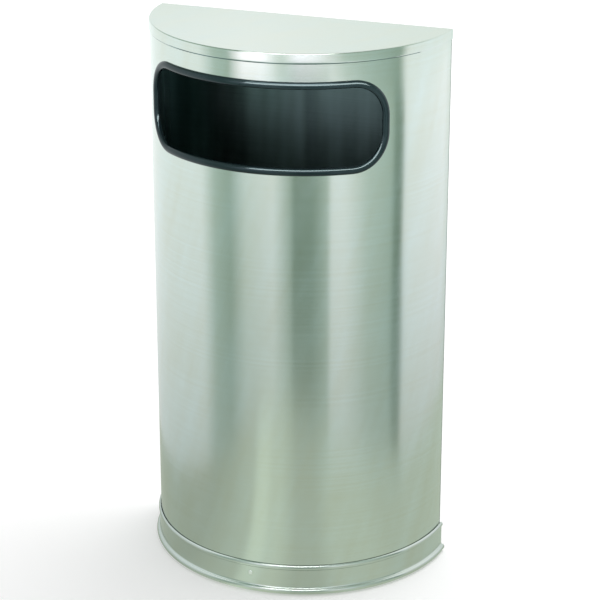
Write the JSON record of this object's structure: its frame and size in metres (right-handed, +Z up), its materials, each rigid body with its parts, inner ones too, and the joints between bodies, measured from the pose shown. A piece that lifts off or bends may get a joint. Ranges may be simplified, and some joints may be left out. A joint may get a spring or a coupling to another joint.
{
  "type": "half-round trash can",
  "caption": "Half-round stainless steel trash can with a wide side opening, flat back and top, lift-off shell and a rigid liner inside.",
  "frame": {"origin": "on the floor, under the middle of the bounding box", "axes": "+Z up, +Y towards the wall behind the flat back, -Y out of the round front with its opening, +X to the right seen from the front"},
  "size_m": [0.4572, 0.2286, 0.8128],
  "materials": {
    "stainless": "satin, brushed around the can",
    "pan_steel": "plain mill finish",
    "rivets": "satin",
    "vinyl": "satin black",
    "liner_plastic": "fine-grained matt",
    "foot_rubber": "matt"
  },
  "bodies": {
    "base": {"base_band": "stainless", "floor_pan": "pan_steel", "base_front_rivet": "rivets", "base_back_rivets": "rivets", "foot_front_left": "foot_rubber", "foot_front_right": "foot_rubber", "foot_back_left": "foot_rubber", "foot_back_right": "foot_rubber", "foot_rivets": "rivets"},
    "shell": {"front_wrap": "stainless", "back_panel": "stainless", "top_cap": "stainless", "opening_trim": "vinyl", "left_seam_rivets": "rivets", "right_seam_rivets": "rivets", "cap_rivets": "rivets"},
    "liner": {"liner": "liner_plastic"}
  },
  "joints": [
    {"name": "shell_lift", "type": "slide", "parent": "base", "child": "shell", "axis": [0, 0, 1], "range_m": [0, 0.58]},
    {"name": "liner_lift", "type": "slide", "parent": "base", "child": "liner", "axis": [0, 0, 1], "range_m": [0, 0.24]}
  ]
}
